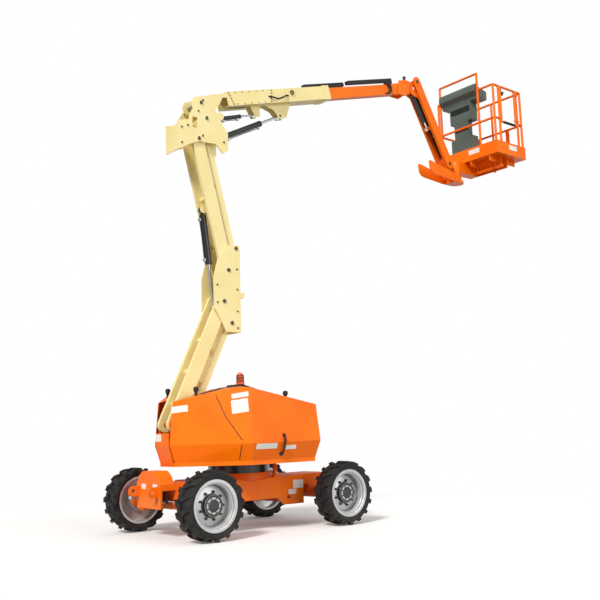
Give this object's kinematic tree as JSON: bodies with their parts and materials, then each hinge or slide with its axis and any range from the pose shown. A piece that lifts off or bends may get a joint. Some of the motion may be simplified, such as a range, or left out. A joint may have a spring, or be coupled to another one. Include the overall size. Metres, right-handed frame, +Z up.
{
  "type": "articulating boom lift",
  "caption": "Wheeled articulating boom lift with a folding parallelogram tower, telescopic boom, jib and a railed work platform.",
  "frame": {"origin": "on the ground under the slewing axis, midway between the axles", "axes": "+Z up, +X along the boom at rest towards the drive axle and the platform, +Y to the left"},
  "size_m": [6.8462, 1.9368, 6.9502],
  "materials": {
    "orange_paint": "satin orange enamel on welded steel",
    "cream_paint": "satin cream enamel on welded steel",
    "black_paint": "satin black enamel on cylinders",
    "rod_chrome": "hard chromed rods",
    "tyre_rubber": "ribbed black rubber",
    "rim_silver": "silver painted pressed steel",
    "black_plastic": "matt black plastic",
    "lamp_amber": "translucent amber lens",
    "console_grey": "grey-green textured housing",
    "cast_weight": "painted rough casting",
    "engine_iron": "bare casting"
  },
  "bodies": {
    "chassis": {"chassis_frame": "orange_paint", "steer_axle": "orange_paint", "drive_axle": "orange_paint", "steer_cylinder": "black_paint", "slew_bearing": "black_paint", "tie_down_lugs": "orange_paint"},
    "steer_rod": {"steer_rod": "rod_chrome"},
    "knuckle_left": {"knuckle_left": "orange_paint"},
    "knuckle_right": {"knuckle_right": "orange_paint"},
    "wheel_steer_left": {"tyre_steer_left": "tyre_rubber", "rim_steer_left": "rim_silver"},
    "wheel_steer_right": {"tyre_steer_right": "tyre_rubber", "rim_steer_right": "rim_silver"},
    "wheel_drive_left": {"tyre_drive_left": "tyre_rubber", "rim_drive_left": "rim_silver"},
    "wheel_drive_right": {"tyre_drive_right": "tyre_rubber", "rim_drive_right": "rim_silver"},
    "turntable": {"turntable": "orange_paint", "counterweight": "cast_weight", "engine_block": "engine_iron", "tank_block": "black_plastic"},
    "hood_near": {"hood_near": "orange_paint", "hood_fittings": "black_plastic", "beacon": "lamp_amber"},
    "hood_far": {"hood_far": "orange_paint", "hood_post_far": "black_plastic"},
    "lower_riser": {"lower_riser": "cream_paint"},
    "lower_link": {"lower_link": "cream_paint"},
    "mid_upright": {"mid_upright": "cream_paint"},
    "upper_riser": {"upper_riser": "cream_paint"},
    "upper_link": {"upper_link": "cream_paint"},
    "upper_upright": {"upper_upright": "cream_paint"},
    "tower_barrel": {"tower_barrel": "black_paint"},
    "tower_rod": {"tower_rod": "rod_chrome"},
    "boom_base": {"boom_base": "cream_paint", "carrier_chain": "black_plastic"},
    "boom_fly": {"boom_fly": "orange_paint", "carrier_tray": "black_plastic"},
    "lift_barrel": {"lift_barrel": "black_paint"},
    "lift_rod": {"lift_rod": "rod_chrome"},
    "level_barrel": {"level_barrel": "black_paint"},
    "level_rod": {"level_rod": "rod_chrome"},
    "nose_knuckle": {"nose_knuckle": "orange_paint"},
    "jib_arm": {"jib_arm": "orange_paint"},
    "jib_link": {"jib_link": "orange_paint"},
    "jib_barrel": {"jib_barrel": "black_paint"},
    "jib_rod": {"jib_rod": "rod_chrome"},
    "jib_head": {"jib_head": "orange_paint"},
    "platform": {"platform_support": "orange_paint", "platform_deck": "orange_paint", "platform_rails": "orange_paint", "lanyard_eyes": "orange_paint", "console": "console_grey"},
    "gate": {"gate": "orange_paint"}
  },
  "joints": [
    {"name": "slew", "type": "hinge", "parent": "chassis", "child": "turntable", "pos_m": [0, 0, 0.794], "axis": [0, 0, 1], "range_deg": [-180, 180]},
    {"name": "steer_left", "type": "hinge", "parent": "chassis", "child": "knuckle_left", "pos_m": [-0.98, 0.64, 0.3875], "axis": [0, 0, 1], "range_deg": [-30, 30]},
    {"name": "steer_right", "type": "hinge", "parent": "chassis", "child": "knuckle_right", "pos_m": [-0.98, -0.64, 0.3875], "axis": [0, 0, 1], "range_deg": [-30.1, 30.1]},
    {"name": "steer_rod_slide", "type": "slide", "parent": "chassis", "child": "steer_rod", "axis": [0, 1, 0], "range_m": [-0.08534, 0.08534]},
    {"name": "wheel_steer_left_spin", "type": "hinge", "parent": "knuckle_left", "child": "wheel_steer_left", "pos_m": [-0.98, 0.8325, 0.3875], "axis": [0, 1, 0], "continuous": true},
    {"name": "wheel_steer_right_spin", "type": "hinge", "parent": "knuckle_right", "child": "wheel_steer_right", "pos_m": [-0.98, -0.8325, 0.3875], "axis": [0, 1, 0], "continuous": true},
    {"name": "wheel_drive_left_spin", "type": "hinge", "parent": "chassis", "child": "wheel_drive_left", "pos_m": [0.98, 0.8325, 0.3875], "axis": [0, 1, 0], "continuous": true},
    {"name": "wheel_drive_right_spin", "type": "hinge", "parent": "chassis", "child": "wheel_drive_right", "pos_m": [0.98, -0.8325, 0.3875], "axis": [0, 1, 0], "continuous": true},
    {"name": "hood_near_lift", "type": "hinge", "parent": "turntable", "child": "hood_near", "pos_m": [-0.3, -0.18, 1.67446], "axis": [-0.9791, 0, 0.2034], "range_deg": [0, 50]},
    {"name": "hood_far_lift", "type": "hinge", "parent": "turntable", "child": "hood_far", "pos_m": [-0.3, 0.18, 1.67446], "axis": [0.9791, 0, -0.2034], "range_deg": [0, 50]},
    {"name": "tower_lift", "type": "hinge", "parent": "turntable", "child": "lower_riser", "pos_m": [-0.992, 0, 1.279], "axis": [0, -1, 0], "range_deg": [-64.3, 2]},
    {"name": "lower_link_swing", "type": "hinge", "parent": "turntable", "child": "lower_link", "pos_m": [-0.882, 0, 1.009], "axis": [0, -1, 0], "range_deg": [-64.43, 2.13]},
    {"name": "mid_upright_level", "type": "hinge", "parent": "lower_riser", "child": "mid_upright", "pos_m": [-0.26475, 0, 2.79011], "axis": [0, -1, 0], "range_deg": [-2.13, 64.43]},
    {"name": "upper_riser_swing", "type": "hinge", "parent": "mid_upright", "child": "upper_riser", "pos_m": [-0.19075, 0, 3.19011], "axis": [0, -1, 0], "range_deg": [-2.52, 76.16]},
    {"name": "upper_link_swing", "type": "hinge", "parent": "mid_upright", "child": "upper_link", "pos_m": [-0.07075, 0, 3.48011], "axis": [0, -1, 0], "range_deg": [-2.52, 76.16]},
    {"name": "upper_upright_level", "type": "hinge", "parent": "upper_riser", "child": "upper_upright", "pos_m": [-0.60202, 0, 4.83961], "axis": [0, -1, 0], "range_deg": [-76.16, 2.52]},
    {"name": "tower_barrel_swing", "type": "hinge", "parent": "upper_riser", "child": "tower_barrel", "pos_m": [-0.48034, 0, 3.95888], "axis": [0, -1, 0], "range_deg": [-23.17, 0.77]},
    {"name": "tower_rod_slide", "type": "slide", "parent": "tower_barrel", "child": "tower_rod", "axis": [0.1227, 0, -0.9924], "range_m": [-0.48124, 0.01593]},
    {"name": "boom_lift", "type": "hinge", "parent": "upper_upright", "child": "boom_base", "pos_m": [-0.56202, 0, 5.31961], "axis": [0, 1, 0], "range_deg": [-54, 26]},
    {"name": "lift_barrel_swing", "type": "hinge", "parent": "upper_upright", "child": "lift_barrel", "pos_m": [-0.18202, 0, 4.95961], "axis": [0, 1, 0], "range_deg": [-55.89, 27]},
    {"name": "lift_rod_slide", "type": "slide", "parent": "lift_barrel", "child": "lift_rod", "axis": [0.8887, 0, 0.4585], "range_m": [-0.20925, 0.43323]},
    {"name": "level_barrel_swing", "type": "hinge", "parent": "upper_upright", "child": "level_barrel", "pos_m": [-0.26202, 0, 5.20461], "axis": [0, 1, 0], "range_deg": [-65.75, 31.76]},
    {"name": "level_rod_slide", "type": "slide", "parent": "level_barrel", "child": "level_rod", "axis": [0.9557, 0, 0.2942], "range_m": [-0.10469, 0.21675]},
    {"name": "telescope", "type": "slide", "parent": "boom_base", "child": "boom_fly", "axis": [0.9613, 0, 0.2756], "range_m": [-1.2, 0]},
    {"name": "nose_level", "type": "hinge", "parent": "boom_fly", "child": "nose_knuckle", "pos_m": [3.26995, 0, 6.44962], "axis": [0, 1, 0], "range_deg": [-26.16, 54.16]},
    {"name": "jib_lift", "type": "hinge", "parent": "nose_knuckle", "child": "jib_arm", "pos_m": [3.59195, 0, 6.62862], "axis": [0, -1, 0], "range_deg": [-2, 145]},
    {"name": "jib_link_swing", "type": "hinge", "parent": "nose_knuckle", "child": "jib_link", "pos_m": [3.63395, 0, 6.42862], "axis": [0, -1, 0], "range_deg": [-2.29, 145.29]},
    {"name": "jib_head_level", "type": "hinge", "parent": "jib_arm", "child": "jib_head", "pos_m": [4.28038, 0, 5.38666], "axis": [0, -1, 0], "range_deg": [-145.29, 2.29]},
    {"name": "jib_barrel_swing", "type": "hinge", "parent": "nose_knuckle", "child": "jib_barrel", "pos_m": [3.59195, 0, 6.42862], "axis": [0, -1, 0], "range_deg": [-2.21, 139.9]},
    {"name": "jib_rod_slide", "type": "slide", "parent": "jib_barrel", "child": "jib_rod", "axis": [0.5173, 0, -0.8558], "range_m": [-0.00593, 0.37571]},
    {"name": "platform_rotate", "type": "hinge", "parent": "jib_head", "child": "platform", "pos_m": [4.53438, 0, 5.14166], "axis": [0, 0, 1], "range_deg": [-90, 90]},
    {"name": "gate_swing", "type": "hinge", "parent": "platform", "child": "gate", "pos_m": [5.31438, -0.733, 5.52066], "axis": [0, 0, -1], "range_deg": [0, 90]}
  ],
  "couplings": [
    {"joint": "steer_right", "follows": "steer_left", "ratio": 1},
    {"joint": "steer_rod_slide", "follows": "steer_left", "m_per_rad": -0.16234},
    {"joint": "lower_link_swing", "follows": "tower_lift", "ratio": 1},
    {"joint": "mid_upright_level", "follows": "tower_lift", "ratio": -1},
    {"joint": "upper_riser_swing", "follows": "tower_lift", "ratio": -1.182},
    {"joint": "upper_link_swing", "follows": "tower_lift", "ratio": -1.182},
    {"joint": "upper_upright_level", "follows": "tower_lift", "ratio": 1.182},
    {"joint": "tower_barrel_swing", "follows": "tower_lift", "ratio": 0.3596},
    {"joint": "tower_rod_slide", "follows": "tower_lift", "m_per_rad": 0.42794},
    {"joint": "lift_barrel_swing", "follows": "boom_lift", "ratio": 1.032},
    {"joint": "lift_rod_slide", "follows": "boom_lift", "m_per_rad": -0.45831},
    {"joint": "level_barrel_swing", "follows": "boom_lift", "ratio": 1.214},
    {"joint": "level_rod_slide", "follows": "boom_lift", "m_per_rad": -0.2293},
    {"joint": "nose_level", "follows": "boom_lift", "ratio": -1},
    {"joint": "jib_link_swing", "follows": "jib_lift", "ratio": 1},
    {"joint": "jib_head_level", "follows": "jib_lift", "ratio": -1},
    {"joint": "jib_barrel_swing", "follows": "jib_lift", "ratio": 0.9629},
    {"joint": "jib_rod_slide", "follows": "jib_lift", "m_per_rad": 0.14816}
  ]
}
